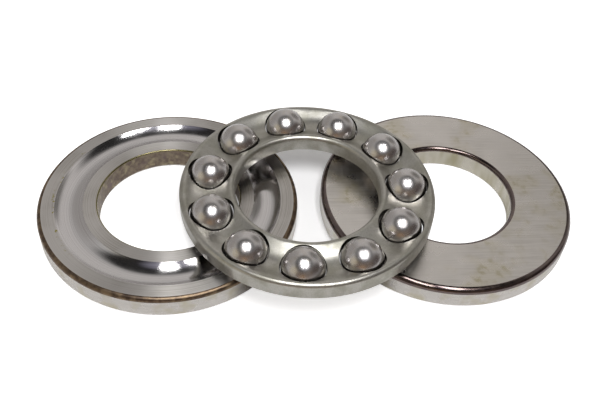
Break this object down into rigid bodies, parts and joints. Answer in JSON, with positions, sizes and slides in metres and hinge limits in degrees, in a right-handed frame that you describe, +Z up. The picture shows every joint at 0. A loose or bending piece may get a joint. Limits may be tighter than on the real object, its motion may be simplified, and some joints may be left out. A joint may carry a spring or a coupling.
{
  "type": "thrust ball bearing",
  "caption": "Single-row thrust ball bearing taken apart: grooved housing washer and shaft washer lying flat, with the caged ball set level across both.",
  "frame": {"origin": "on the surface that both washers lie on, under the middle of the laid-out bearing's box", "axes": "+X from the housing washer to the shaft washer, along the line through their centres; +Z up, along every washer and cage axis"},
  "size_m": [0.1992, 0.0996, 0.0239],
  "materials": {
    "washer_steel": "ground and polished bearing steel",
    "cage_steel": "satin pressed steel sheet",
    "ball_steel": "lapped and polished bearing steel"
  },
  "bodies": {
    "housing_washer": {"housing_washer": "washer_steel"},
    "shaft_washer": {"shaft_washer": "washer_steel"},
    "cage": {"cage": "cage_steel"},
    "ball_01": {"ball_01": "ball_steel"},
    "ball_02": {"ball_02": "ball_steel"},
    "ball_03": {"ball_03": "ball_steel"},
    "ball_04": {"ball_04": "ball_steel"},
    "ball_05": {"ball_05": "ball_steel"},
    "ball_06": {"ball_06": "ball_steel"},
    "ball_07": {"ball_07": "ball_steel"},
    "ball_08": {"ball_08": "ball_steel"},
    "ball_09": {"ball_09": "ball_steel"},
    "ball_10": {"ball_10": "ball_steel"},
    "ball_11": {"ball_11": "ball_steel"}
  },
  "joints": [
    {"name": "shaft_washer_spin", "type": "hinge", "parent": "housing_washer", "child": "shaft_washer", "pos_m": [0.05205, 0.00235, 0], "axis": [0, 0, 1], "continuous": true},
    {"name": "cage_spin", "type": "hinge", "parent": "housing_washer", "child": "cage", "pos_m": [-0.0016, -0.00385, 0.01634], "axis": [0, 0, 1], "continuous": true},
    {"name": "ball_01_spin", "type": "hinge", "parent": "cage", "child": "ball_01", "pos_m": [-0.00589, -0.03984, 0.01634], "axis": [-0.1184, -0.993, 0], "continuous": true},
    {"name": "ball_02_spin", "type": "hinge", "parent": "cage", "child": "ball_02", "pos_m": [0.01425, -0.03645, 0.01634], "axis": [0.4372, -0.8993, 0], "continuous": true},
    {"name": "ball_03_spin", "type": "hinge", "parent": "cage", "child": "ball_03", "pos_m": [0.02936, -0.02271, 0.01634], "axis": [0.854, -0.5202, 0], "continuous": true},
    {"name": "ball_04_spin", "type": "hinge", "parent": "cage", "child": "ball_04", "pos_m": [0.03464, -0.00298, 0.01634], "axis": [0.9997, 0.0241, 0], "continuous": true},
    {"name": "ball_05_spin", "type": "hinge", "parent": "cage", "child": "ball_05", "pos_m": [0.02841, 0.01648, 0.01634], "axis": [0.828, 0.5608, 0], "continuous": true},
    {"name": "ball_06_spin", "type": "hinge", "parent": "cage", "child": "ball_06", "pos_m": [0.01266, 0.02948, 0.01634], "axis": [0.3934, 0.9194, 0], "continuous": true},
    {"name": "ball_07_spin", "type": "hinge", "parent": "cage", "child": "ball_07", "pos_m": [-0.00762, 0.0319, 0.01634], "axis": [-0.1661, 0.9861, 0], "continuous": true},
    {"name": "ball_08_spin", "type": "hinge", "parent": "cage", "child": "ball_08", "pos_m": [-0.02599, 0.02296, 0.01634], "axis": [-0.6729, 0.7397, 0], "continuous": true},
    {"name": "ball_09_spin", "type": "hinge", "parent": "cage", "child": "ball_09", "pos_m": [-0.03662, 0.00552, 0.01634], "axis": [-0.966, 0.2585, 0], "continuous": true},
    {"name": "ball_10_spin", "type": "hinge", "parent": "cage", "child": "ball_10", "pos_m": [-0.03612, -0.0149, 0.01634], "axis": [-0.9524, -0.3048, 0], "continuous": true},
    {"name": "ball_11_spin", "type": "hinge", "parent": "cage", "child": "ball_11", "pos_m": [-0.02467, -0.03181, 0.01634], "axis": [-0.6364, -0.7713, 0], "continuous": true}
  ],
  "couplings": [
    {"joint": "cage_spin", "follows": "shaft_washer_spin", "ratio": 0.5},
    {"joint": "ball_01_spin", "follows": "shaft_washer_spin", "ratio": -2.4037},
    {"joint": "ball_02_spin", "follows": "shaft_washer_spin", "ratio": -2.4037},
    {"joint": "ball_03_spin", "follows": "shaft_washer_spin", "ratio": -2.4037},
    {"joint": "ball_04_spin", "follows": "shaft_washer_spin", "ratio": -2.4037},
    {"joint": "ball_05_spin", "follows": "shaft_washer_spin", "ratio": -2.4037},
    {"joint": "ball_06_spin", "follows": "shaft_washer_spin", "ratio": -2.4037},
    {"joint": "ball_07_spin", "follows": "shaft_washer_spin", "ratio": -2.4037},
    {"joint": "ball_08_spin", "follows": "shaft_washer_spin", "ratio": -2.4037},
    {"joint": "ball_09_spin", "follows": "shaft_washer_spin", "ratio": -2.4037},
    {"joint": "ball_10_spin", "follows": "shaft_washer_spin", "ratio": -2.4037},
    {"joint": "ball_11_spin", "follows": "shaft_washer_spin", "ratio": -2.4037}
  ]
}
